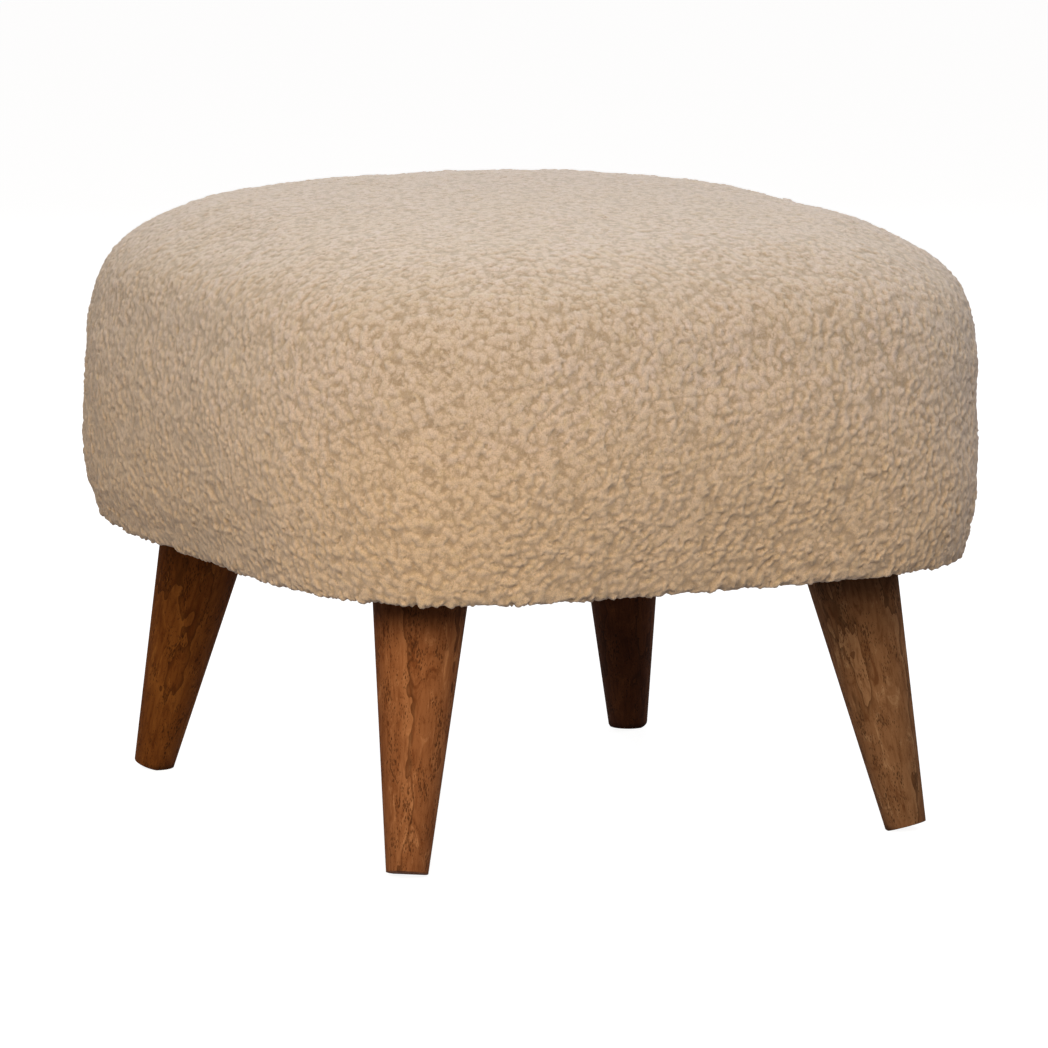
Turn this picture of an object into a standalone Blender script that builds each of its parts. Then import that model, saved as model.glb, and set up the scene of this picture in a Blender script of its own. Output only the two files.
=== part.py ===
"""Upholstered footstool: a domed seat in curly pile cloth on four turned, splayed wooden legs.

Metres, +Z up. The origin is on the floor under the middle of the seat, X runs along the stool's
width and Y along its depth, and -Y is the front. The seat is one filled solid: its plan is a
rounded square that grows rounder towards the crown, its shoulders roll over into a low dome, and
its hem draws in and rolls under to a flat underside. The legs are straight tapers, cut across at
the foot, each with a small level flat that it stands on.
"""

import math

import bmesh
import bpy
from mathutils import Matrix, Vector

# Seat: overall sizes, over the pile.
STOOL_HEIGHT = 0.380
SEAT_WIDTH = 0.486
SEAT_DEPTH = 0.532
UNDERSIDE_HEIGHT = 0.167
CROWN_RISE = 0.021
SHOULDER_DROP = 0.067
SHOULDER_INSET = 0.135
HEM_RISE = 0.092
HEM_INSET = 0.0195
UNDERSIDE_MARGIN = 0.018

# How square the plan is at three heights (2 is an ellipse), and how tight the two rolled edges are.
WAIST_SQUARENESS = 3.36
SHOULDER_SQUARENESS = 2.71
HEM_SQUARENESS = 4.12
SHOULDER_TIGHTNESS = 4.0
HEM_TIGHTNESS = 1.5

# Where the padding is a little fuller or flatter than the rule, by hand: the direction seen from
# above in degrees from +X and its spread, how far the shoulder and the hem stand out there, and
# how far the hem hangs lower.
PADDING = (
    # direction, spread, shoulder, hem, hang
    (-45, 34, 0.0015, 0.0020, 0.0032),
    (45, 34, -0.0021, 0.0, 0.0010),
    (135, 34, -0.0033, 0.0026, 0.0010),
    (-135, 34, 0.0, -0.0017, 0.0),
    (-85, 26, 0.0, -0.0030, -0.0022),
    (180, 30, 0.0, 0.0020, 0.0),
)
SHOULDER_BAND = 0.035
HEM_BAND = 0.028

# Mesh: points round the seat, and rings in each stretch of its profile.
SEAT_COLUMNS = 80
SHOULDER_RINGS = 14
CROWN_RINGS = 6
HEM_RINGS = 10

# Legs: the axis runs from the foot's centre through the point where it meets TOP_POINT_HEIGHT.
FOOT_X = 0.168
FOOT_Y = 0.1875
TOP_POINT_X = 0.1447
TOP_POINT_Y = 0.1557
TOP_POINT_HEIGHT = 0.160
FOOT_RADIUS = 0.0126
TOP_POINT_RADIUS = 0.0285
FOOT_CUT_TILT = math.radians(17)
FOOT_FLAT_DROP = 0.0015
LEG_SIDES = 48
LEG_RIM_ROUND = 0.0008
LEG_BLANK_SPARE = 0.03
SEAT_GAP = 0.0003

LEG_PLACES = {
    "leg_front_left": (-1, -1),
    "leg_front_right": (1, -1),
    "leg_back_left": (-1, 1),
    "leg_back_right": (1, 1),
}


def clear_scene():
    for obj in list(bpy.data.objects):
        bpy.data.objects.remove(obj, do_unlink=True)


def principled(name, colour, roughness, metallic=0.0):
    material = bpy.data.materials.new(name)
    material.use_nodes = True
    shader = material.node_tree.nodes["Principled BSDF"]
    shader.inputs["Base Color"].default_value = (*colour, 1.0)
    shader.inputs["Roughness"].default_value = roughness
    shader.inputs["Metallic"].default_value = metallic
    return material


def finished_object(name, bm, material):
    mesh = bpy.data.meshes.new(name)
    bm.to_mesh(mesh)
    bm.free()
    mesh.materials.append(material)
    mesh.shade_smooth()
    mesh.set_sharp_from_angle(angle=math.radians(35))
    obj = bpy.data.objects.new(name, mesh)
    bpy.context.scene.collection.objects.link(obj)
    return obj


def rolled_edge(turn, tightness):
    """(run, rise) from 0 to 1 along a rolled edge that starts upright and ends level, at turn 0 to 1."""
    angle = turn * math.pi / 2
    run = 1 - max(math.cos(angle), 0.0) ** (2 / tightness)
    rise = math.sin(angle) ** (2 / tightness)
    return run, rise


def dome(inset):
    """How far the crown has risen at this distance in from the seat's widest line."""
    half = min(SEAT_WIDTH, SEAT_DEPTH) / 2
    return CROWN_RISE * (1 - (1 - inset / half) ** 2)


def seat_profile():
    """The seat's rings from the underside up: half width, half depth, height and squareness of each."""
    half_width = SEAT_WIDTH / 2
    half_depth = SEAT_DEPTH / 2
    waist_height = STOOL_HEIGHT - CROWN_RISE - SHOULDER_DROP
    rings = []
    for step in range(HEM_RINGS, -1, -1):
        run, rise = rolled_edge(step / HEM_RINGS, HEM_TIGHTNESS)
        inset = HEM_INSET * run
        height = UNDERSIDE_HEIGHT + HEM_RISE * (1 - rise)
        squareness = WAIST_SQUARENESS + (HEM_SQUARENESS - WAIST_SQUARENESS) * rise
        rings.append((half_width - inset, half_depth - inset, height, squareness))
    for step in range(SHOULDER_RINGS + 1):
        run, rise = rolled_edge(step / SHOULDER_RINGS, SHOULDER_TIGHTNESS)
        inset = SHOULDER_INSET * run
        height = waist_height + SHOULDER_DROP * rise + dome(inset)
        squareness = WAIST_SQUARENESS + (SHOULDER_SQUARENESS - WAIST_SQUARENESS) * rise
        rings.append((half_width - inset, half_depth - inset, height, squareness))
    inner_width = half_width - SHOULDER_INSET
    inner_depth = half_depth - SHOULDER_INSET
    for step in range(1, CROWN_RINGS):
        left = 1 - step / CROWN_RINGS
        height = waist_height + SHOULDER_DROP + dome(half_width - inner_width * left)
        rings.append((inner_width * left, inner_depth * left, height, SHOULDER_SQUARENESS))
    return rings


def bell(distance, spread):
    return math.exp(-((distance / spread) ** 2))


def padding_at(direction, height):
    """How far the seat stands out from its rule, and hangs below it, in this direction and height."""
    at_shoulder = bell(height - (STOOL_HEIGHT - CROWN_RISE - SHOULDER_DROP * 0.35), SHOULDER_BAND)
    at_hem = bell(height - (UNDERSIDE_HEIGHT + HEM_RISE * 0.3), HEM_BAND)
    at_bottom = bell(height - UNDERSIDE_HEIGHT, HEM_BAND)
    outward = 0.0
    downward = 0.0
    for centre, spread, shoulder, hem, hang in PADDING:
        near = bell((math.degrees(direction) - centre + 180) % 360 - 180, spread)
        outward += near * (shoulder * at_shoulder + hem * at_hem)
        downward += near * hang * at_bottom
    return outward, downward


def ring_points(half_width, half_depth, height, squareness):
    """A rounded square, with the padding's unevenness fading out towards the middle of the seat."""
    points = []
    for column in range(SEAT_COLUMNS):
        direction = 2 * math.pi * column / SEAT_COLUMNS
        across = abs(math.cos(direction) / half_width) ** squareness
        along = abs(math.sin(direction) / half_depth) ** squareness
        radius = (across + along) ** (-1 / squareness)
        outward, downward = padding_at(direction, height)
        radius += outward * min(radius / (SEAT_WIDTH / 4), 1.0)
        place = (radius * math.cos(direction), radius * math.sin(direction), height - downward)
        points.append(Vector(place))
    return points


def centred(rings):
    """The rings moved so that the seat's widest points lie evenly about the origin."""
    points = [point for ring in rings for point in ring]
    middle_x = (min(p.x for p in points) + max(p.x for p in points)) / 2
    middle_y = (min(p.y for p in points) + max(p.y for p in points)) / 2
    shift = Vector((middle_x, middle_y, 0))
    return [[point - shift for point in ring] for ring in rings]


def underside_rim(hem_ring):
    """The last ring of the hem, drawn in by UNDERSIDE_MARGIN and level with the underside."""
    shrink = 1 - UNDERSIDE_MARGIN / (SEAT_WIDTH / 2 - HEM_INSET)
    return [Vector((point.x * shrink, point.y * shrink, UNDERSIDE_HEIGHT)) for point in hem_ring]


def make_seat(material):
    rings = centred([ring_points(*ring) for ring in seat_profile()])
    rings.insert(0, underside_rim(rings[0]))
    bm = bmesh.new()
    loops = [[bm.verts.new(point) for point in ring] for ring in rings]
    for lower, upper in zip(loops, loops[1:]):
        for column in range(SEAT_COLUMNS):
            following = (column + 1) % SEAT_COLUMNS
            bm.faces.new((lower[column], lower[following], upper[following], upper[column]))
    crown = bm.verts.new((0, 0, STOOL_HEIGHT))
    top_loop = loops[-1]
    for column in range(SEAT_COLUMNS):
        bm.faces.new((top_loop[column], top_loop[(column + 1) % SEAT_COLUMNS], crown))
    bm.faces.new(reversed(loops[0]))
    return finished_object("seat", bm, material)


def cut_away(bm, point, outward):
    """Cuts off what lies beyond a plane and closes the cut with one face."""
    everything = bm.verts[:] + bm.edges[:] + bm.faces[:]
    cut = bmesh.ops.bisect_plane(
        bm, geom=everything, plane_co=point, plane_no=outward, clear_outer=True
    )
    edges = [piece for piece in cut["geom_cut"] if isinstance(piece, bmesh.types.BMEdge)]
    bmesh.ops.contextual_create(bm, geom=edges)


def make_leg(name, side_x, side_y, material):
    foot_height = FOOT_RADIUS * math.sin(FOOT_CUT_TILT) - FOOT_FLAT_DROP
    foot = Vector((side_x * FOOT_X, side_y * FOOT_Y, foot_height))
    top = Vector((side_x * TOP_POINT_X, side_y * TOP_POINT_Y, TOP_POINT_HEIGHT))
    axis = (top - foot).normalized()
    taper = (TOP_POINT_RADIUS - FOOT_RADIUS) / (top - foot).length
    upright_to_axis = axis.to_track_quat("Z", "Y").to_matrix().to_4x4()
    bm = bmesh.new()
    bmesh.ops.create_cone(
        bm,
        cap_ends=True,
        segments=LEG_SIDES,
        radius1=FOOT_RADIUS - taper * LEG_BLANK_SPARE,
        radius2=TOP_POINT_RADIUS + taper * LEG_BLANK_SPARE,
        depth=(top - foot).length + 2 * LEG_BLANK_SPARE,
        matrix=Matrix.Translation((top + foot) / 2) @ upright_to_axis,
    )
    splay = Vector((foot.x - top.x, foot.y - top.y, 0)).normalized()
    across_foot = splay * math.sin(FOOT_CUT_TILT) - Vector((0, 0, math.cos(FOOT_CUT_TILT)))
    cut_away(bm, foot, across_foot)
    cut_away(bm, Vector((0, 0, 0)), Vector((0, 0, -1)))
    cut_away(bm, Vector((0, 0, UNDERSIDE_HEIGHT - SEAT_GAP)), Vector((0, 0, 1)))
    leg = finished_object(name, bm, material)
    rim = leg.modifiers.new("rounded rims", "BEVEL")
    rim.width = LEG_RIM_ROUND
    rim.segments = 2
    rim.limit_method = "ANGLE"
    rim.angle_limit = math.radians(50)
    return leg


def main():
    clear_scene()
    pile_cloth = principled("curly pile cloth", (0.60, 0.47, 0.345), 0.95)
    stained_wood = principled("stained wood", (0.155, 0.062, 0.026), 0.45)
    make_seat(pile_cloth)
    for name, (side_x, side_y) in LEG_PLACES.items():
        make_leg(name, side_x, side_y, stained_wood)


main()
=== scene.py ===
"""Looks of the upholstered footstool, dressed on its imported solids.

The cover is the seat's solid drawn in to make room for the pile, remeshed, settled by a short cloth
simulation and made a little uneven. The pile is a finer copy of the cover, raised into small woolly
curls down to where the cloth rolls under, and cut into sectors round the seat. The legs are copies
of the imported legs, shaded smooth, in stained open-grain wood. Metres, +Z up, -Y the front.
"""

import math

import bmesh
import bpy
from mathutils import Matrix, Vector, noise


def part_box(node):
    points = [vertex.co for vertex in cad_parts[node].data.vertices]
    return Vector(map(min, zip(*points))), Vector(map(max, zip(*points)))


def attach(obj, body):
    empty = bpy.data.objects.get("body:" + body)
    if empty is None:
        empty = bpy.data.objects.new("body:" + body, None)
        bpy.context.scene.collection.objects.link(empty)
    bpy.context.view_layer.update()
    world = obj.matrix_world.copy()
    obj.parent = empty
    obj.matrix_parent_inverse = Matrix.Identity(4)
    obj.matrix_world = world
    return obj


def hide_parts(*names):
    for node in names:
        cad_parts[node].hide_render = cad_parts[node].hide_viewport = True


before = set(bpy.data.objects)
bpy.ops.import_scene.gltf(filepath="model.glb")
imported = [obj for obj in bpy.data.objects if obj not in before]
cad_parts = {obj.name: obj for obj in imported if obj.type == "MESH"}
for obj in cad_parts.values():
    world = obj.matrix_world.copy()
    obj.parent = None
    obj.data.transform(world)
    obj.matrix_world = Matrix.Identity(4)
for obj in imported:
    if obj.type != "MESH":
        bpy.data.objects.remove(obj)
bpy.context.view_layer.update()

LEG_NODES = ("leg_front_left", "leg_front_right", "leg_back_left", "leg_back_right")

# Camera: where it stands round the stool in degrees and metres, and its lens in millimetres.
CAMERA_AZIMUTH = -26.15
CAMERA_ELEVATION = 9.26
CAMERA_DISTANCE = 4.9015
CAMERA_AIM = (0.0, 0.0, 0.1721)
CAMERA_ROLL = 0.247
CAMERA_LENS = 272.6
CAMERA_SENSOR = 36.0
CAMERA_NEAR = 0.1
CAMERA_FAR = 60.0

# Studio: softboxes round the stool, all at one distance, in a dim warm room with a pale floor.
ROOM_WHITE = (1.0, 0.90, 0.86)
ROOM_GLOW = 0.185
SOFTBOX_SIZE = 1.2
SOFTBOX_DISTANCE = 2.4
SOFTBOXES = (
    # name, azimuth, elevation, watts, colour
    ("front softbox", -26.0, 28.0, 29.2, (1.0, 0.97, 0.82)),
    ("left softbox", -55.0, 28.0, 13.2, (1.0, 0.89, 0.68)),
    ("high softbox", 5.0, 52.0, 4.9, (0.86, 0.96, 1.0)),
    ("right softbox", 100.0, 35.0, 11.2, (0.88, 0.92, 1.0)),
    ("back softbox", 160.0, 35.0, 23.0, (0.88, 0.92, 1.0)),
)
FLOOR_REACH = 16.0
FLOOR_SURFACE = {
    "Base Color": (0.30, 0.30, 0.30, 1.0),
    "Roughness": 0.9,
    "Specular IOR Level": 0.1,
    "Emission Color": (1.0, 1.0, 1.0, 1.0),
    "Emission Strength": 0.92,
}

# Cover: how far it is drawn in from the solid, for the pile and for the swell of the cloth.
PILE_DEPTH = 0.0021
SWELL_ROOM = 0.0020
COVER_VOXEL = 0.0049
COVER_SMOOTHING = 0.5
COVER_SMOOTHINGS = 3
# How the cloth is settled, and the band over the underside where it is held to the frame.
SETTLE_FRAMES = 20
CLOTH_SETTINGS = {
    "quality": 5,
    "mass": 0.3,
    "tension_stiffness": 15.0,
    "compression_stiffness": 15.0,
    "bending_stiffness": 2.0,
    "use_pressure": True,
    "uniform_pressure_force": 4.0,
}
HELD_BAND = 0.012
MOST_MOVE = 0.003
UNEVEN = (
    # size, height
    (0.060, 0.0010),
    (0.022, 0.0006),
)
# Under the seat: the gap over the legs, and where the cloth is level and where the panel is, by
# how far out on the seat's plan they reach and how squarely they face down.
LEG_GAP = 0.0003
LEVEL_INSIDE = 0.88
LEVEL_OUTSIDE = 0.96
LEVEL_FACING = -0.5
PANEL_EDGE = 0.93
PANEL_FACING = -0.9

# Pile: the curls of the cloth's face, in sectors round the seat. Each seed moves their pattern on
# by one more step.
PILE_LEVELS = 2
PILE_SECTORS = 6
PILE_SEED = 11
SEED_STEP = (0.37, 0.61, 0.83)
PILE_SIZES = {
    "Root height": 0.0003,
    "Curl size": 0.0041,
    "Curl height": 0.0017,
    "Swirl size": 0.0062,
    "Swirl reach": 0.0028,
    "Tuft size": 0.0200,
    "Overhang": 0.0013,
    "Under edge": -0.97,
    "Hem share": 1.45,
    "Crown share": 0.60,
}
# A curl's round cap, its pits and the partings between curls; each fineness is counted per curl.
CAP_FINENESS = 1.0
CAP_EDGE = (0.28, 0.84)
CAP_FOOT = 0.38
PIT_FINENESS = 0.9
PIT_EDGE = (0.26, 0.53)
WOOL_ROUGHNESS = 0.62
PARTING_FINENESS = 0.8
PARTING_REACH = 0.7
PARTING_DEPTH = 0.25
HILL_REACH = 0.17
# How finely the pits are broken up in the shape and in the colour.
SHAPE_DETAIL = 1.5
COLOUR_DETAIL = 5.0
# How much lower or taller whole tufts are, and where the pile changes with the way the cloth faces.
TUFT_EDGE = (0.30, 0.70)
TUFT_SHARE = (0.60, 1.25)
CROWN_FACING = (0.55, 0.97)
HEM_FACING = (-0.80, -0.30)
UNDER_FADE = 0.08
UNDER_SINK = 0.0004
# How a sector is laid out flat: how much of the map's width it fills, and the angles of its
# profile, measured from a line inside the seat.
MAP_NAME = "OFBake"
MAP_FILL = 0.96
ROLL_HEIGHT = 0.26
ROLL_REACH = 0.12
ROLL_START = math.radians(-50.0)
ROLL_SPAN = math.radians(190.0)

# Pile yarn: its tones, the scales of its pattern per curl or per metre, and its surface.
PILE_TIP = (0.725, 0.495, 0.334)
# Painted shade: the next dark brown darkens the creases between the curls, and also marks the dark fibre
# flecks.
PILE_SHADE_AND_FLECK = (0.385, 0.225, 0.100)
PILE_PINK = (0.760, 0.540, 0.415)
PILE_OCHRE = (0.670, 0.450, 0.252)
# Painted highlight: the pale tone put on the curls' tips and along the fine loops.
PILE_GLINT = (0.880, 0.710, 0.595)
PILE_TONES = (
    # place in the drift from curl to curl, tone
    (0.30, PILE_OCHRE),
    (0.45, PILE_TIP),
    (0.58, PILE_TIP),
    (0.70, PILE_PINK),
)
TONE_FINENESS = 0.8
FIBRE_FINENESS = 6.0
LOOP_FINENESS = 3.3
DRIFT_PER_METRE = 14.0
# Where each layer of colour starts and ends in its pattern, and how far it covers there.
DRIFT_EDGE = (0.35, 0.65)
DRIFT_SHARE = 0.35
TIP_EDGE = (0.60, 1.0)
TIP_HIGHLIGHT_SHARE = 0.18
CREASE_SHADE_EDGE = (0.12, 0.78)
LOOP_RIM = (0.0, 0.4)
LOOP_GLINT_SHARE = 0.8
FIBRE_EDGE = (0.44, 0.62)
FIBRE_SHARE = 0.55
LOOP_RELIEF = -0.3
# Here and below, a bump is its strength and its depth.
YARN_BUMP = (0.5, 0.0008)
YARN_SURFACE = {
    "Roughness": 0.9,
    "Diffuse Roughness": 0.3,
    "Specular IOR Level": 0.25,
    "Sheen Weight": 0.6,
    "Sheen Roughness": 0.8,
    "Sheen Tint": (1.0, 0.98, 0.97, 1.0),
}
# Painted light: the crown is painted a little cooler and greyer than the hem, for the cool light and
# sheen over the top, and the hem warmer for the warm light round it.
CROWN_PAINTED_LIGHT = (0.90, 0.99, 1.20)
HEM_PAINTED_LIGHT = (1.04, 0.98, 0.82)

# The cloth's ground under the pile, and the weave of the panel under the seat.
GROUND_DARK = (0.44, 0.31, 0.185)
GROUND_PALE = (0.54, 0.40, 0.26)
NAP_PER_METRE = 420.0
GROUND_BUMP = (0.6, 0.001)
GROUND_SURFACE = {"Roughness": 0.95, "Sheen Weight": 0.25}
WEAVE_DARK = (0.20, 0.155, 0.11)
WEAVE_PALE = (0.40, 0.32, 0.24)
WEAVE_PER_METRE = 260.0
SLUB_PER_METRE = (60.0, 500.0, 60.0)
WEAVE_BUMP = (0.4, 0.0004)
WEAVE_SURFACE = {"Roughness": 0.92}

# Wood: its tones, the scales of its grain per metre across and along the leg, and its surface.
WOOD_DEEP = (0.060, 0.021, 0.007)
WOOD_RED = (0.150, 0.046, 0.014)
WOOD_BROWN = (0.265, 0.098, 0.036)
WOOD_TAN = (0.450, 0.195, 0.082)
WOOD_TONES = (
    # place in the mottle, tone
    (0.34, WOOD_RED),
    (0.47, WOOD_BROWN),
    (0.54, WOOD_BROWN),
    (0.68, WOOD_TAN),
)
MOTTLE_PER_METRE = (95.0, 95.0, 34.0)
STREAKS_PER_METRE = (520.0, 520.0, 55.0)
PORES_PER_METRE = (1300.0, 1300.0, 330.0)
PORE_CROWDS_PER_METRE = (130.0, 130.0, 45.0)
# Where each layer of colour starts and ends in its pattern, and how far it covers there.
LINE_EDGE = (0.86, 1.0)
LINE_SHARE = 0.60
GLOW_EDGE = (0.0, 0.30)
GLOW_SHARE = 0.35
STREAK_EDGE = (0.45, 0.68)
STREAK_SHARE = 0.60
# Pores grow from the first size to the second where they crowd together.
PORE_CROWDING = (0.36, 0.70)
PORE_SIZE = (0.10, 0.46)
PORE_SHARE = 0.80
FIGURE_STRETCH = (1.0, 1.0, 0.30)
FIGURE = {
    "Scale": 11.0,
    "Distortion": 9.0,
    "Detail": 4.0,
    "Detail Scale": 2.2,
    "Detail Roughness": 0.65,
}
STREAK_RELIEF = -0.5
PORE_RELIEF = -1.0
WOOD_BUMP = (0.45, 0.0004)
WOOD_SURFACE = {"Roughness": 0.8, "Specular IOR Level": 0.03}
# Each leg's tint, in leg order, partly its own tone and partly painted shade: the two back legs are
# painted darker for the shade they stand in under the seat. Each leg is darker at its two ends, the top
# band with painted shadow from the seat; bands are shares of its height.
LEG_STAINS_AND_SHADE = (
    (1.20, 1.14, 1.08),
    (0.98, 1.20, 1.42),
    (0.82, 0.66, 0.30),
    (0.30, 0.22, 0.14),
)
TOP_SHADOW_BAND = (0.84, 0.95)
TOP_PAINTED_SHADOW = 0.60
RIM_BAND = (0.0, 0.03)
RIM_SHADE = 0.35
# Each leg is cut from its own billet; the slices at its ends that give its axis are this thick.
BILLET_STEP = Vector((0.31, 0.17, 0.53))
FOOT_SLICE = 0.006
TOP_SLICE = 0.001
LEG_SHARP_ANGLE = math.radians(40)


def towards(azimuth, elevation):
    """The unit vector from the stool to a place round it; azimuth 0 is straight in front, at -Y."""
    turn = math.radians(azimuth)
    climb = math.radians(elevation)
    level = math.cos(climb)
    return Vector((math.sin(turn) * level, -math.cos(turn) * level, math.sin(climb)))


def opaque(colour):
    """A colour with full cover, as Blender's sockets want it."""
    return (*colour, 1.0)


def link(obj):
    bpy.context.scene.collection.objects.link(obj)
    return obj


def plain_mesh(obj, name):
    """The object as its modifiers leave it, as a new plain object; the old one is removed."""
    depsgraph = bpy.context.evaluated_depsgraph_get()
    mesh = bpy.data.meshes.new_from_object(obj.evaluated_get(depsgraph), depsgraph=depsgraph)
    bpy.data.objects.remove(obj)
    mesh.name = name
    return link(bpy.data.objects.new(name, mesh))


def merged_copy(node, name):
    """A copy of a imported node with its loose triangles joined."""
    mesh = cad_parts[node].data.copy()
    mesh.name = name
    bm = bmesh.new()
    bm.from_mesh(mesh)
    bmesh.ops.remove_doubles(bm, verts=bm.verts, dist=0.00001)
    bm.to_mesh(mesh)
    bm.free()
    mesh.materials.clear()
    return link(bpy.data.objects.new(name, mesh))


# ---------------------------------------------------------------- camera, floor and lights


def add_camera():
    data = bpy.data.cameras.new("camera")
    data.lens = CAMERA_LENS
    data.sensor_width = CAMERA_SENSOR
    data.clip_start = CAMERA_NEAR
    data.clip_end = CAMERA_FAR
    camera = link(bpy.data.objects.new("camera", data))
    back = towards(CAMERA_AZIMUTH, CAMERA_ELEVATION)
    turn = back.to_track_quat("Z", "Y")
    roll = Matrix.Rotation(math.radians(CAMERA_ROLL), 4, "Z")
    place = Matrix.Translation(Vector(CAMERA_AIM) + back * CAMERA_DISTANCE)
    camera.matrix_world = place @ turn.to_matrix().to_4x4() @ roll
    bpy.context.scene.camera = camera


def add_light(name, azimuth, elevation, watts, colour):
    """A square softbox that faces the stool."""
    data = bpy.data.lights.new(name, "AREA")
    data.shape = "SQUARE"
    data.size = SOFTBOX_SIZE
    data.energy = watts
    data.color = colour
    light = link(bpy.data.objects.new(name, data))
    out = towards(azimuth, elevation)
    middle = Matrix.Translation(Vector(CAMERA_AIM) + out * SOFTBOX_DISTANCE)
    light.matrix_world = middle @ out.to_track_quat("Z", "Y").to_matrix().to_4x4()


def add_floor():
    """A pale floor, bright enough to read as white all round, with only faint shadows."""
    mesh = bpy.data.meshes.new("floor")
    corners = [(-FLOOR_REACH, -FLOOR_REACH, 0), (FLOOR_REACH, -FLOOR_REACH, 0)]
    corners += [(FLOOR_REACH, FLOOR_REACH, 0), (-FLOOR_REACH, FLOOR_REACH, 0)]
    mesh.from_pydata(corners, [], [(0, 1, 2, 3)])
    floor = link(bpy.data.objects.new("floor", mesh))
    paint = MaterialTree("pale floor")
    mesh.materials.append(paint.finish(FLOOR_SURFACE))
    floor.visible_diffuse = False


def add_studio():
    scene = bpy.context.scene
    scene.view_settings.view_transform = "Standard"
    world = bpy.data.worlds.new("soft studio")
    world.use_nodes = True
    background = world.node_tree.nodes["Background"]
    background.inputs["Color"].default_value = opaque(ROOM_WHITE)
    background.inputs["Strength"].default_value = ROOM_GLOW
    scene.world = world
    for light in SOFTBOXES:
        add_light(*light)
    add_floor()


# ---------------------------------------------------------------- materials


class Writer:
    """Short ways to write a node tree, for materials and for geometry."""

    def __init__(self, tree):
        self.tree = tree

    def add(self, kind, settings=None, inputs=None):
        node = self.tree.nodes.new(kind)
        for key, value in (settings or {}).items():
            setattr(node, key, value)
        for key, value in (inputs or {}).items():
            self.feed(node.inputs[key], value)
        return node

    def feed(self, socket, value):
        if isinstance(value, bpy.types.NodeSocket):
            self.tree.links.new(value, socket)
        else:
            socket.default_value = value

    def maths(self, operation, first, second=0.0, clamp=False):
        node = self.add("ShaderNodeMath", {"operation": operation, "use_clamp": clamp})
        self.feed(node.inputs[0], first)
        self.feed(node.inputs[1], second)
        return node.outputs[0]

    def product(self, *factors):
        result = factors[0]
        for factor in factors[1:]:
            result = self.maths("MULTIPLY", result, factor)
        return result

    def total(self, *terms):
        result = terms[0]
        for term in terms[1:]:
            result = self.maths("ADD", result, term)
        return result

    def vector(self, operation, first, second, output="Vector"):
        node = self.add("ShaderNodeVectorMath", {"operation": operation})
        self.feed(node.inputs[0], first)
        self.feed(node.inputs[1], second)
        return node.outputs[output]

    def dot(self, first, second):
        return self.vector("DOT_PRODUCT", first, second, "Value")

    def scaled(self, vector, share):
        inputs = {"Vector": vector, "Scale": share}
        return self.add("ShaderNodeVectorMath", {"operation": "SCALE"}, inputs).outputs["Vector"]

    def split(self, vector):
        return self.add("ShaderNodeSeparateXYZ", {}, {"Vector": vector}).outputs

    def noise(self, vector, scale, detail=2.0, roughness=0.5, distortion=0.0, output="Fac"):
        inputs = {
            "Vector": vector,
            "Scale": scale,
            "Detail": detail,
            "Roughness": roughness,
            "Distortion": distortion,
        }
        return self.add("ShaderNodeTexNoise", {}, inputs).outputs[output]

    def cells(self, vector, scale):
        """The distance to the middle of the nearest cell."""
        inputs = {"Vector": vector, "Scale": scale}
        return self.add("ShaderNodeTexVoronoi", {}, inputs).outputs["Distance"]

    def span(self, value, low, high, to_low=0.0, to_high=1.0):
        """A smooth step: to_low where the value is under low, to_high where it is over high."""
        inputs = {
            "Value": value,
            "From Min": low,
            "From Max": high,
            "To Min": to_low,
            "To Max": to_high,
        }
        settings = {"interpolation_type": "SMOOTHSTEP"}
        return self.add("ShaderNodeMapRange", settings, inputs).outputs["Result"]

    def hills(self, vector, fineness):
        """Rounded hills with narrow creases between: 0 in a crease, 1 on a hill."""
        swell = self.maths("SUBTRACT", self.noise(vector, fineness, detail=0.0), 0.5)
        part = self.maths("DIVIDE", self.maths("ABSOLUTE", swell), HILL_REACH, clamp=True)
        return self.maths("MULTIPLY", part, self.maths("SUBTRACT", 2.0, part))

    def curls(self, curl, detail):
        """Woolly curls: round caps, pitted and run together here and there, with a few partings."""
        caps = self.span(self.cells(curl, CAP_FINENESS), *CAP_EDGE, 1.0, CAP_FOOT)
        pits = self.span(self.noise(curl, PIT_FINENESS, detail, WOOL_ROUGHNESS), *PIT_EDGE)
        hills = self.hills(curl, PARTING_FINENESS)
        parting = self.span(hills, 0.0, PARTING_REACH, 1.0 - PARTING_DEPTH, 1.0)
        return self.product(caps, pits, parting)


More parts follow.
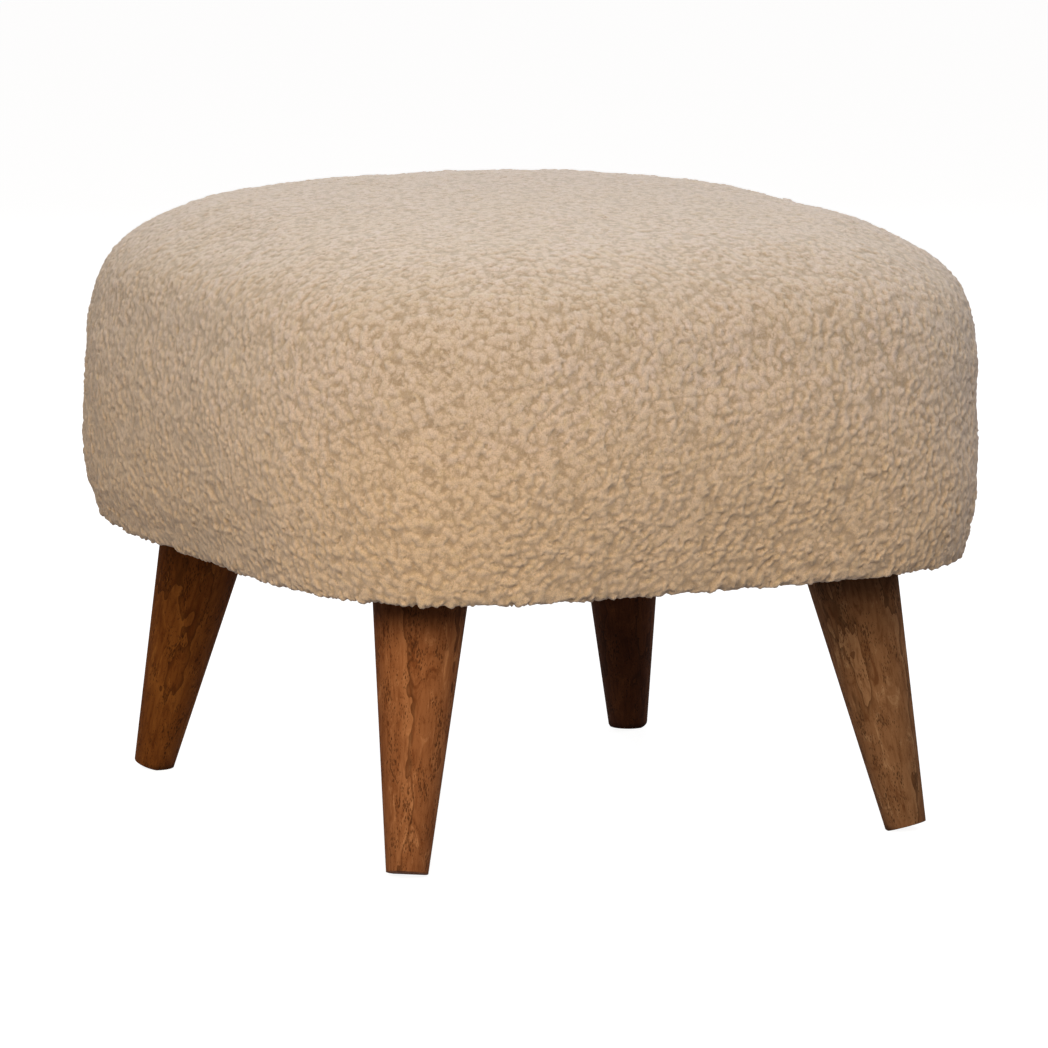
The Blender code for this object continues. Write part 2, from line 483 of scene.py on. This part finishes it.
class MaterialTree(Writer):
    """A material's node tree."""

    def __init__(self, name):
        self.material = bpy.data.materials.new(name)
        self.material.use_nodes = True
        super().__init__(self.material.node_tree)
        self.shader = self.tree.nodes["Principled BSDF"]

    def attribute(self, name, output="Fac"):
        return self.add("ShaderNodeAttribute", {"attribute_name": name}).outputs[output]

    def place(self):
        return self.add("ShaderNodeTexCoord").outputs["Object"]

    def stretched(self, vector, scale):
        return self.vector("MULTIPLY", vector, scale)

    def wave(self, vector, scale, direction):
        settings = {"bands_direction": direction}
        inputs = {"Vector": vector, "Scale": scale}
        return self.add("ShaderNodeTexWave", settings, inputs).outputs["Fac"]

    def ramp(self, value, stops):
        node = self.add("ShaderNodeValToRGB", {}, {"Fac": value})
        elements = node.color_ramp.elements
        while len(elements) < len(stops):
            elements.new(0.5)
        for element, (place, colour) in zip(elements, stops):
            element.position = place
            element.color = opaque(colour)
        return node.outputs["Color"]

    def mix(self, share, under, over, blend="MIX"):
        node = self.add("ShaderNodeMix", {"data_type": "RGBA", "blend_type": blend})
        self.feed(node.inputs["Factor"], share)
        self.feed(node.inputs["A"], under)
        self.feed(node.inputs["B"], over)
        return node.outputs["Result"]

    def paint(self, tone, share, colour):
        """Paints a colour over a tone, as far as share says."""
        return self.mix(share, tone, opaque(colour))

    def coat(self, tone, height, bump):
        """Gives the shader its colour, and the fine relief that this bump makes of the height."""
        strength, distance = bump
        inputs = {"Height": height, "Strength": strength, "Distance": distance}
        relief = self.add("ShaderNodeBump", {}, inputs).outputs["Normal"]
        self.feed(self.shader.inputs["Base Color"], tone)
        self.feed(self.shader.inputs["Normal"], relief)

    def finish(self, surface):
        """Sets what is the same all over, and gives the material."""
        for label, value in surface.items():
            self.shader.inputs[label].default_value = value
        return self.material


def pile_material():
    """Matt curly yarn, with painted shade darker and browner in the creases, painted highlights paler at
    the tips and on fine loops, and painted light cooler on the crown.
    """
    tree = MaterialTree("curly pile yarn")
    curl = tree.attribute("curl", "Vector")
    place = tree.place()
    lift = tree.curls(curl, COLOUR_DETAIL)
    own = tree.noise(curl, TONE_FINENESS, detail=1.0)
    drift = tree.noise(place, DRIFT_PER_METRE, detail=2.0)
    fibres = tree.noise(curl, FIBRE_FINENESS, detail=3.0, roughness=0.7, distortion=0.6)
    loops = tree.hills(curl, LOOP_FINENESS)
    # Painted highlights: pale glints along the rims of the fine loops.
    loop_glints = tree.product(tree.span(loops, *LOOP_RIM, LOOP_GLINT_SHARE, 0.0), fibres)

    tone = tree.ramp(own, PILE_TONES)
    tone = tree.paint(tone, tree.span(drift, *DRIFT_EDGE, 0.0, DRIFT_SHARE), PILE_OCHRE)
    # Painted highlight: the curls' tips are painted paler.
    tone = tree.paint(tone, tree.span(lift, *TIP_EDGE, 0.0, TIP_HIGHLIGHT_SHARE), PILE_GLINT)
    # Painted shade: the creases between the curls are painted darker and browner.
    tone = tree.paint(tone, tree.span(lift, *CREASE_SHADE_EDGE, 1.0, 0.0), PILE_SHADE_AND_FLECK)
    tone = tree.paint(tone, loop_glints, PILE_GLINT)
    tone = tree.paint(tone, tree.span(fibres, *FIBRE_EDGE, 0.0, FIBRE_SHARE), PILE_SHADE_AND_FLECK)

    # Painted light: cooler and greyer towards the crown, warmer towards the hem.
    low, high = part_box("seat")
    rise = tree.span(tree.split(place)["Z"], low.z, high.z)
    painted_light_tint = tree.mix(rise, opaque(HEM_PAINTED_LIGHT), opaque(CROWN_PAINTED_LIGHT))
    tone = tree.mix(1.0, tone, painted_light_tint, "MULTIPLY")
    height = tree.total(fibres, lift, tree.product(loops, LOOP_RELIEF))
    tree.coat(tone, height, YARN_BUMP)
    return tree.finish(YARN_SURFACE)


def backing_material():
    """The ground of the pile cloth, seen only where the pile ends, round the panel underneath."""
    tree = MaterialTree("pile cloth ground")
    nap = tree.noise(tree.place(), NAP_PER_METRE, detail=3.0, roughness=0.6)
    tree.coat(tree.mix(nap, opaque(GROUND_DARK), opaque(GROUND_PALE)), nap, GROUND_BUMP)
    return tree.finish(GROUND_SURFACE)


def panel_material():
    """Plain close weave under the seat."""
    tree = MaterialTree("underside weave")
    place = tree.place()
    across = tree.wave(place, WEAVE_PER_METRE, "X")
    along = tree.wave(place, WEAVE_PER_METRE, "Y")
    weave = tree.maths("MAXIMUM", across, along)
    slub = tree.noise(tree.stretched(place, SLUB_PER_METRE), 1.0, detail=2.0)
    tone = tree.mix(tree.product(weave, slub), opaque(WEAVE_DARK), opaque(WEAVE_PALE))
    tree.coat(tone, weave, WEAVE_BUMP)
    return tree.finish(WEAVE_SURFACE)


def wood_material():
    """Open-grain wood, stained a matt brown, with painted shadow from the seat at the top of each leg;
    the grain runs along each leg.
    """
    tree = MaterialTree("stained open-grain wood")
    grain = tree.attribute("grain", "Vector")
    blotches = tree.stretched(grain, MOTTLE_PER_METRE)
    mottle = tree.noise(blotches, 1.0, detail=6.0, roughness=0.72, distortion=1.2)
    tone = tree.ramp(mottle, WOOD_TONES)

    bands = {"Vector": tree.stretched(grain, FIGURE_STRETCH), **FIGURE}
    saw = {"bands_direction": "X", "wave_profile": "SAW"}
    figure = tree.add("ShaderNodeTexWave", saw, bands).outputs["Fac"]
    tone = tree.paint(tone, tree.span(figure, *LINE_EDGE, 0.0, LINE_SHARE), WOOD_DEEP)
    tone = tree.paint(tone, tree.span(figure, *GLOW_EDGE, GLOW_SHARE, 0.0), WOOD_TAN)

    streaks = tree.noise(tree.stretched(grain, STREAKS_PER_METRE), 1.0, detail=3.0, roughness=0.65)
    tone = tree.paint(tone, tree.span(streaks, *STREAK_EDGE, 0.0, STREAK_SHARE), WOOD_RED)
    crowd = tree.noise(tree.stretched(grain, PORE_CROWDS_PER_METRE), 1.0, detail=2.0)
    nearest = tree.cells(tree.stretched(grain, PORES_PER_METRE), 1.0)
    pores = tree.maths("LESS_THAN", nearest, tree.span(crowd, *PORE_CROWDING, *PORE_SIZE))
    tone = tree.paint(tone, tree.product(pores, PORE_SHARE), WOOD_DEEP)

    along = tree.attribute("along leg")
    # Painted shadow: the top of each leg is painted darker where the seat shades it; the foot's rim is
    # darker too.
    top = tree.span(along, *TOP_SHADOW_BAND, 1.0, TOP_PAINTED_SHADOW)
    rim = tree.span(along, *RIM_BAND, RIM_SHADE, 1.0)
    # The leg's tint: its own tone, with painted shade on the two back legs.
    tone = tree.mix(1.0, tone, tree.attribute("stain_and_shade", "Color"), "MULTIPLY")
    tone = tree.mix(tree.product(top, rim), opaque((0.0, 0.0, 0.0)), tone)
    height = tree.total(tree.product(streaks, STREAK_RELIEF), tree.product(pores, PORE_RELIEF))
    tree.coat(tone, height, WOOD_BUMP)
    return tree.finish(WOOD_SURFACE)


# ---------------------------------------------------------------- the seat's cover


def smooth_share(value, low, high):
    """A smooth step from 0 at low to 1 at high."""
    share = min(max((value - low) / (high - low), 0.0), 1.0)
    return share * share * (3 - 2 * share)


def outward_share(point, widest):
    """How far out on the seat's plan a point is: 0 in the middle, about 1 at its widest line."""
    across = abs(point.x) / widest.x
    along = abs(point.y) / widest.y
    return (across**4 + along**4) ** 0.25


def moved_along_normals(mesh, distance_at):
    """Moves every point along its normal by distance_at(place)."""
    places = [vert.co.copy() for vert in mesh.vertices]
    normals = [vert.normal.copy() for vert in mesh.vertices]
    for vert, place, normal in zip(mesh.vertices, places, normals):
        vert.co = place + normal * distance_at(place)
    mesh.update()


def settle(cover):
    """A short cloth simulation that tightens the cover over its filling; points move only a little."""
    before = [vert.co.copy() for vert in cover.data.vertices]
    held = cover.vertex_groups.new(name="held")
    held_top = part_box("seat")[0].z + HELD_BAND
    held.add([i for i, place in enumerate(before) if place.z < held_top], 1.0, "REPLACE")
    cloth = cover.modifiers.new("settle", "CLOTH")
    for key, value in CLOTH_SETTINGS.items():
        setattr(cloth.settings, key, value)
    cloth.settings.vertex_group_mass = "held"
    cloth.settings.effector_weights.gravity = 0.0
    cloth.collision_settings.use_collision = False
    scene = bpy.context.scene
    for number in range(1, SETTLE_FRAMES + 1):
        scene.frame_set(number)
    settled = plain_mesh(cover, "seat_cover")
    scene.frame_set(1)
    for vert, start in zip(settled.data.vertices, before):
        move = vert.co - start
        vert.co = start + move * (MOST_MOVE / (MOST_MOVE + move.length))
    return settled


def unevenness(place):
    """The cloth's small rises and dips over the filling."""
    return sum(height * noise.noise(place / size) for size, height in UNEVEN)


def level_panel(mesh, widest):
    """Lays the middle of the underside flat over the legs, at the height of the seat's underside."""
    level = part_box("leg_front_left")[1].z + LEG_GAP
    facing = [vert.normal.z for vert in mesh.vertices]
    for vert, down in zip(mesh.vertices, facing):
        if down < LEVEL_FACING:
            out = outward_share(vert.co, widest)
            vert.co.z += (level - vert.co.z) * (1 - smooth_share(out, LEVEL_INSIDE, LEVEL_OUTSIDE))
    mesh.update()


def make_cover(ground, panel):
    cover = merged_copy("seat", "seat_cover")
    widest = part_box("seat")[1]
    moved_along_normals(cover.data, lambda place: -(PILE_DEPTH + SWELL_ROOM))
    remesh = cover.modifiers.new("even mesh", "REMESH")
    remesh.mode = "VOXEL"
    remesh.voxel_size = COVER_VOXEL
    smooth = cover.modifiers.new("smooth", "SMOOTH")
    smooth.factor = COVER_SMOOTHING
    smooth.iterations = COVER_SMOOTHINGS
    cover = plain_mesh(cover, "seat_cover")
    cover = settle(cover)
    moved_along_normals(cover.data, unevenness)
    level_panel(cover.data, widest)
    cover.data.shade_smooth()
    cover.data.materials.clear()
    cover.data.materials.append(ground)
    cover.data.materials.append(panel)
    for face in cover.data.polygons:
        if face.normal.z < PANEL_FACING and outward_share(face.center, widest) < PANEL_EDGE:
            face.material_index = 1
    return cover


# ---------------------------------------------------------------- the pile


class GeometryTree(Writer):
    """A Geometry Nodes tree with named inputs."""

    def __init__(self, name, inputs):
        super().__init__(bpy.data.node_groups.new(name, "GeometryNodeTree"))
        face = self.tree.interface
        face.new_socket("Geometry", in_out="INPUT", socket_type="NodeSocketGeometry")
        for label, kind in inputs:
            face.new_socket(label, in_out="INPUT", socket_type=kind)
        face.new_socket("Geometry", in_out="OUTPUT", socket_type="NodeSocketGeometry")
        self.given = self.tree.nodes.new("NodeGroupInput").outputs
        self.result = self.tree.nodes.new("NodeGroupOutput")

    def per(self, size):
        """How many of this size go to a metre."""
        return self.maths("DIVIDE", 1.0, size)

    def store(self, geometry, name, value, kind="FLOAT", domain="POINT"):
        inputs = {"Geometry": geometry, "Name": name, "Value": value}
        settings = {"data_type": kind, "domain": domain}
        return self.add("GeometryNodeStoreNamedAttribute", settings, inputs).outputs["Geometry"]

    def stored(self, name):
        return self.add("GeometryNodeInputNamedAttribute", {}, {"Name": name}).outputs["Attribute"]

    def finish(self, geometry, material):
        """Ends the tree: a plain mesh in one material."""
        whole = self.add("GeometryNodeRealizeInstances", {}, {"Geometry": geometry}).outputs["Geometry"]
        dressed = self.add("GeometryNodeSetMaterial", {}, {"Geometry": whole, "Material": material})
        self.feed(self.result.inputs["Geometry"], dressed.outputs["Geometry"])

    def identifier(self, label):
        for item in self.tree.interface.items_tree:
            if item.item_type == "SOCKET" and item.in_out == "INPUT" and item.name == label:
                return item.identifier
        raise KeyError(label)

    def put_on(self, obj, values):
        """Gives the object a modifier with this tree, its named inputs set."""
        modifier = obj.modifiers.new(self.tree.name, "NODES")
        modifier.node_group = self.tree
        for label, value in values.items():
            modifier[self.identifier(label)] = value


def pile_tree():
    """Raises the cloth into swirling curls, which end where it rolls under."""
    sizes = [(label, "NodeSocketFloat") for label in ("Seed", *PILE_SIZES)]
    tree = GeometryTree("curly pile", [*sizes, ("Yarn", "NodeSocketMaterial")])
    given = tree.given
    position = tree.add("GeometryNodeInputPosition").outputs["Position"]
    normal = tree.add("GeometryNodeInputNormal").outputs["Normal"]
    place = tree.vector("ADD", position, tree.scaled(SEED_STEP, given["Seed"]))
    facing = tree.split(normal)["Z"]
    rooted = tree.span(facing, given["Under edge"], tree.maths("ADD", given["Under edge"], UNDER_FADE))

    tuft = tree.noise(place, tree.per(given["Tuft size"]), detail=1.0)
    swirl = tree.noise(place, tree.per(given["Swirl size"]), detail=1.0, output="Color")
    sway = tree.vector("SUBTRACT", swirl, (0.5, 0.5, 0.5))
    swirled = tree.vector("ADD", place, tree.scaled(sway, given["Swirl reach"]))
    curl = tree.scaled(swirled, tree.per(given["Curl size"]))
    lift = tree.product(tree.curls(curl, SHAPE_DETAIL), tree.span(tuft, *TUFT_EDGE, *TUFT_SHARE))

    pressed = tree.span(facing, *CROWN_FACING, 1.0, given["Crown share"])
    hanging = tree.span(facing, *HEM_FACING, given["Hem share"], 1.0)
    curled = tree.product(lift, given["Curl height"], pressed, hanging)
    rise = tree.product(tree.total(given["Root height"], curled), rooted)
    sunk = tree.product(tree.maths("SUBTRACT", rooted, 1.0), UNDER_SINK)
    outward = tree.scaled(normal, tree.total(rise, sunk))
    aside = tree.scaled(sway, tree.product(given["Overhang"], lift, rooted))
    offset = tree.vector("ADD", outward, aside)

    whole = tree.store(given["Geometry"], "curl", curl, "FLOAT_VECTOR")
    whole = tree.store(whole, "facing", facing)
    moved = tree.add("GeometryNodeSetPosition", {}, {"Geometry": whole, "Offset": offset})
    shaded = tree.store(moved.outputs["Geometry"], "shade", normal, "FLOAT_VECTOR")
    tree.finish(shaded, given["Yarn"])
    return tree


def sector_tree():
    """Keeps one sector of the pile, down to where the cloth rolls under, and lays it out flat."""
    inputs = [("Toward", "NodeSocketVector"), ("Across", "NodeSocketVector")]
    inputs += [("Half angle", "NodeSocketFloat"), ("Under edge", "NodeSocketFloat")]
    tree = GeometryTree("one sector", [*inputs, ("Yarn", "NodeSocketMaterial")])
    given = tree.given
    position = tree.add("GeometryNodeInputPosition").outputs["Position"]
    forth = tree.dot(position, given["Toward"])
    around = tree.maths("ARCTAN2", tree.dot(position, given["Across"]), forth)
    inside = tree.maths("LESS_THAN", tree.maths("ABSOLUTE", around), given["Half angle"])
    above = tree.maths("GREATER_THAN", tree.stored("facing"), given["Under edge"])
    chosen = {"Geometry": given["Geometry"], "Selection": tree.product(inside, above)}
    kept = tree.add("GeometryNodeSeparateGeometry", {"domain": "FACE"}, chosen).outputs["Selection"]

    # Round the seat along one side of the map; from the hem over the shoulder to the crown up it.
    place = tree.split(position)
    squares = tree.total(tree.product(place["X"], place["X"]), tree.product(place["Y"], place["Y"]))
    out = tree.maths("SUBTRACT", tree.maths("SQRT", squares), ROLL_REACH)
    over = tree.maths("ARCTAN2", tree.maths("SUBTRACT", place["Z"], ROLL_HEIGHT), out)
    width = tree.maths("DIVIDE", around, tree.product(given["Half angle"], 2.0 / MAP_FILL))
    rolled = tree.maths("SUBTRACT", over, ROLL_START)
    corner = tree.add("ShaderNodeCombineXYZ")
    tree.feed(corner.inputs["X"], tree.maths("ADD", width, 0.5, clamp=True))
    tree.feed(corner.inputs["Y"], tree.maths("DIVIDE", rolled, ROLL_SPAN, clamp=True))
    mapped = tree.store(kept, MAP_NAME, corner.outputs["Vector"], "FLOAT2", "CORNER")
    tree.finish(mapped, given["Yarn"])
    return tree


def make_pile(cover, yarn):
    """The pile of each sector round the seat, as one plain mesh a sector."""
    raised = link(bpy.data.objects.new("raised pile", cover.data.copy()))
    finer = raised.modifiers.new("finer", "SUBSURF")
    finer.levels = PILE_LEVELS
    finer.render_levels = PILE_LEVELS
    pile_tree().put_on(raised, {"Seed": float(PILE_SEED), "Yarn": yarn, **PILE_SIZES})
    raised = plain_mesh(raised, "raised pile")

    keep_sector = sector_tree()
    half = math.pi / PILE_SECTORS
    pieces = []
    for number in range(PILE_SECTORS):
        middle = -math.pi + (2 * number + 1) * half
        part = link(bpy.data.objects.new("pile sector", raised.data))
        values = {
            "Toward": (math.cos(middle), math.sin(middle), 0.0),
            "Across": (-math.sin(middle), math.cos(middle), 0.0),
            "Half angle": half,
            "Under edge": PILE_SIZES["Under edge"],
            "Yarn": yarn,
        }
        keep_sector.put_on(part, values)
        piece = plain_mesh(part, f"pile_sector_{number + 1}")
        shade = [value.vector.copy() for value in piece.data.attributes["shade"].data]
        piece.data.shade_smooth()
        piece.data.normals_split_custom_set_from_vertices(shade)
        # Only these steps needed them; "curl" and the map stay for the yarn.
        for done in ("shade", "facing"):
            piece.data.attributes.remove(piece.data.attributes[done])
        pieces.append(piece)
    bpy.data.objects.remove(raised)
    return pieces


# ---------------------------------------------------------------- the legs


def middle_of(places):
    """The average of these places."""
    return sum(places, Vector()) / len(places)


def make_leg(node, wood, number):
    """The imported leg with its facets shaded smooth, and its own grain coordinates along its length."""
    leg = merged_copy(node, "turned_" + node)
    mesh = leg.data
    mesh.shade_smooth()
    mesh.set_sharp_from_angle(angle=LEG_SHARP_ANGLE)
    mesh.materials.append(wood)
    low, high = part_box(node)
    foot = middle_of([vert.co for vert in mesh.vertices if vert.co.z < low.z + FOOT_SLICE])
    top = middle_of([vert.co for vert in mesh.vertices if vert.co.z > high.z - TOP_SLICE])
    upright = (top - foot).to_track_quat("Z", "Y").to_matrix().inverted()
    billet = BILLET_STEP * number
    # All three are made before any is filled in, because a new one moves the others.
    mesh.attributes.new("grain", "FLOAT_VECTOR", "POINT")
    mesh.attributes.new("along leg", "FLOAT", "POINT")
    mesh.attributes.new("stain_and_shade", "FLOAT_COLOR", "POINT")
    for vert, value in zip(mesh.vertices, mesh.attributes["grain"].data):
        value.vector = upright @ (vert.co - foot) + billet
    for vert, value in zip(mesh.vertices, mesh.attributes["along leg"].data):
        value.value = (vert.co.z - low.z) / (high.z - low.z)
    # Each leg's tint; on the two back legs it is partly painted shade.
    for value in mesh.attributes["stain_and_shade"].data:
        value.color = opaque(LEG_STAINS_AND_SHADE[number])
    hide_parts(node)
    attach(leg, "root")


# ---------------------------------------------------------------- putting it together


def main():
    add_camera()
    add_studio()
    yarn = pile_material()
    ground = backing_material()
    panel = panel_material()
    wood = wood_material()

    cover = make_cover(ground, panel)
    pile = make_pile(cover, yarn)
    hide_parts("seat")
    for piece in [cover, *pile]:
        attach(piece, "root")
    for number, node in enumerate(LEG_NODES):
        make_leg(node, wood, number)


main()
